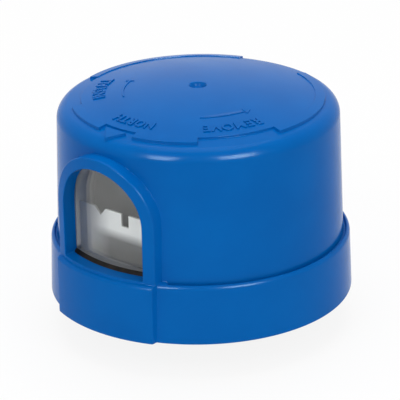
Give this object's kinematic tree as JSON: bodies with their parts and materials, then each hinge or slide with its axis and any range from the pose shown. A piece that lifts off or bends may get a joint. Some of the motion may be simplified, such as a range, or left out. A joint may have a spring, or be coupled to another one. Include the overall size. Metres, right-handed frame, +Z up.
{
  "type": "photocell switch",
  "caption": "Round twist-lock photocell switch: domed cap with an arched side window over a light shutter, stepped skirt, sealing gasket and locking contact blades.",
  "frame": {"origin": "centre of the sealing gasket's underside, which seats on the socket", "axes": "+Z up through the cover's crown, -Y out of the window, so north is -Y"},
  "size_m": [0.08, 0.0814, 0.0649],
  "materials": {
    "cover_blue": "smooth semi-gloss blue moulding",
    "clear_lens": "clear moulded plastic",
    "seal_bead": "dark sealant",
    "grey_moulding": "matt grey moulding",
    "tinned_sheet": "bright tinned sheet",
    "sensor_ceramic": "resin-coated ceramic",
    "tinned_wire": "tinned wire",
    "base_moulding": "matt dark grey moulding",
    "gasket_foam": "closed-cell foam rubber",
    "blade_brass": "stamped brass",
    "board_laminate": "green laminate",
    "screw_steel": "zinc-plated steel",
    "relay_case": "black moulded case",
    "film_case": "red moulded case",
    "can_sleeve": "dark blue sleeve",
    "varistor_coating": "blue dipped coating",
    "diode_moulding": "black moulding",
    "resistor_coating": "painted ceramic",
    "diode_glass": "glass envelope"
  },
  "bodies": {
    "root": {"cover": "cover_blue", "window_lens": "clear_lens", "lens_seal": "seal_bead", "light_box": "grey_moulding", "shutter_plate": "tinned_sheet", "photocell": "sensor_ceramic", "photocell_leads": "tinned_wire", "base_plate": "base_moulding", "gasket": "gasket_foam", "line_blade": "blade_brass", "load_blade": "blade_brass", "neutral_blade": "blade_brass", "circuit_board": "board_laminate", "board_screws": "screw_steel", "relay": "relay_case", "film_capacitor": "film_case", "smoothing_capacitor": "can_sleeve", "surge_varistor": "varistor_coating", "rectifier_diodes": "diode_moulding", "dropper_resistor": "resistor_coating", "bias_resistors": "resistor_coating", "zener_diode": "diode_glass", "switch_transistor": "diode_moulding"}
  },
  "joints": []
}
